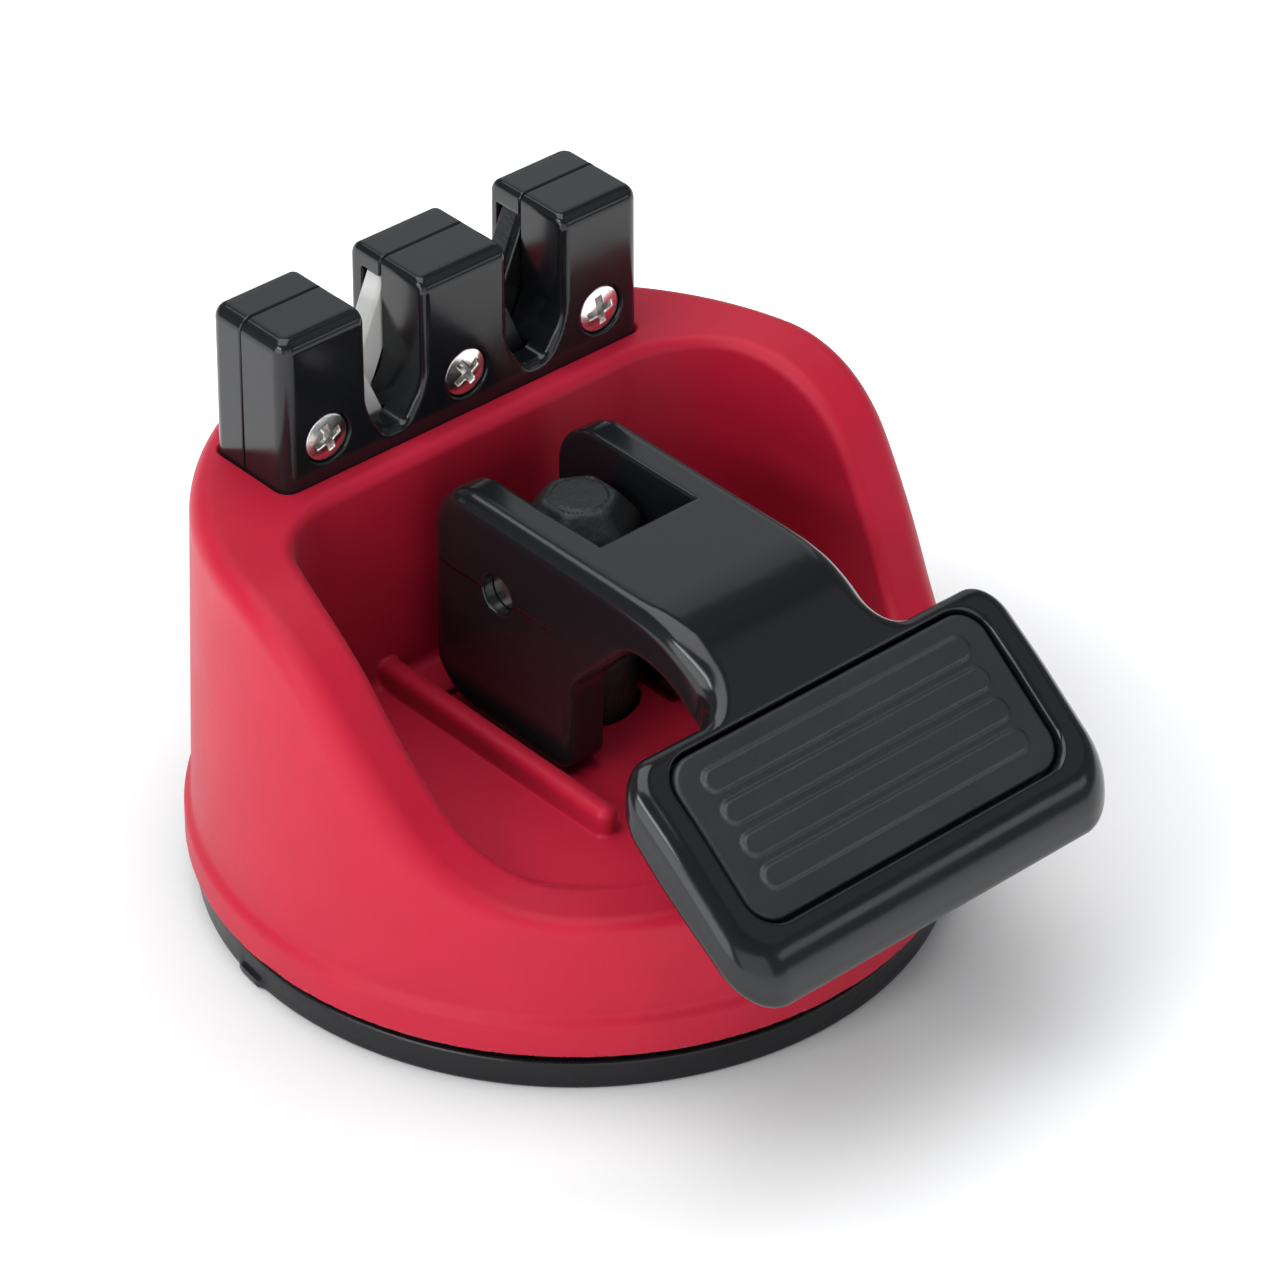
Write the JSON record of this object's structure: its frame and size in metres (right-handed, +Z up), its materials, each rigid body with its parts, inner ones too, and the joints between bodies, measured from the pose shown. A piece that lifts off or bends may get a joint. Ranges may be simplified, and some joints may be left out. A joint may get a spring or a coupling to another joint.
{
  "type": "suction base knife sharpener",
  "caption": "Two-slot knife sharpener on a round suction base: the lever's padded paddle folds down in front and locks a rubber cup.",
  "frame": {"origin": "middle of the footprint of the whole part, on the surface it stands on", "axes": "+Z up; +X along the sharpening block; the lever's paddle points to -Y and the block is at +Y"},
  "size_m": [0.0776, 0.0906, 0.0611],
  "materials": {
    "red": "soft-touch matte",
    "black": "gloss",
    "rubber": "smooth",
    "pad": "fine grain",
    "steel": "bright zinc",
    "ceramic": "fine ceramic",
    "carbide": "ground"
  },
  "bodies": {
    "base": {"housing": "red", "suction_cup": "rubber", "block_front_half": "black", "block_rear_half": "black", "ceramic_rod_rear": "ceramic", "ceramic_rod_front": "ceramic", "carbide_blade_rear": "carbide", "carbide_blade_front": "carbide", "clamp_screw_left": "steel", "clamp_screw_middle": "steel", "clamp_screw_right": "steel", "fixing_screw_left": "steel", "fixing_screw_right": "steel"},
    "stem": {"cup_stem": "rubber", "lever_pin": "steel"},
    "lever": {"lever": "black", "lever_pad": "pad"}
  },
  "joints": [
    {"name": "stem_slide", "type": "slide", "parent": "base", "child": "stem", "axis": [0, 0, 1], "range_m": [-0.0023, 0]},
    {"name": "lever_hinge", "type": "hinge", "parent": "stem", "child": "lever", "pos_m": [0, 0.0058, 0.036], "axis": [-1, 0, 0], "range_deg": [0, 90]}
  ],
  "couplings": [
    {"joint": "stem_slide", "follows": "lever_hinge", "m_per_rad": -0.0014}
  ]
}
